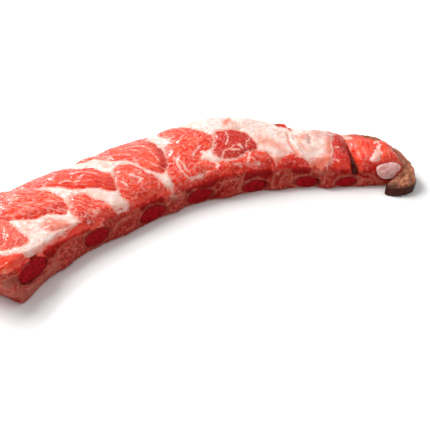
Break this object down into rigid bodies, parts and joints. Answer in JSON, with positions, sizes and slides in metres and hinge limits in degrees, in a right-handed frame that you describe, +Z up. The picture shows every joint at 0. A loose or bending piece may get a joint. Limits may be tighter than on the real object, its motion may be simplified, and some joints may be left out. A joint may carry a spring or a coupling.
{
  "type": "strip of raw lamb ribs",
  "caption": "Bowed strip of raw lamb ribs, sawn across the bones on both long sides, with marbled lean and fat on top, a knuckle of lean with a cartilage end, and a flap of flank.",
  "frame": {"origin": "under the middle of the bounding box, on the surface that the strip lies on", "axes": "+X along the strip from its wide cut end to the cartilage end, +Y towards the outside of its bow, +Z up out of the fat side"},
  "size_m": [0.276, 0.1144, 0.0291],
  "materials": {
    "raw_meat": "moist raw lean in cream fat, with a wet sheen",
    "cut_bone": "sawn bone with dark red marrow, pale at its rim",
    "cartilage": "smooth pale pink gristle, slightly wet"
  },
  "bodies": {
    "root": {"meat": "raw_meat", "rib_bone_1": "cut_bone", "rib_bone_2": "cut_bone", "rib_bone_3": "cut_bone", "rib_bone_4": "cut_bone", "rib_bone_5": "cut_bone", "rib_bone_6": "cut_bone", "rib_bone_7": "cut_bone", "cartilage": "cartilage"}
  },
  "joints": []
}
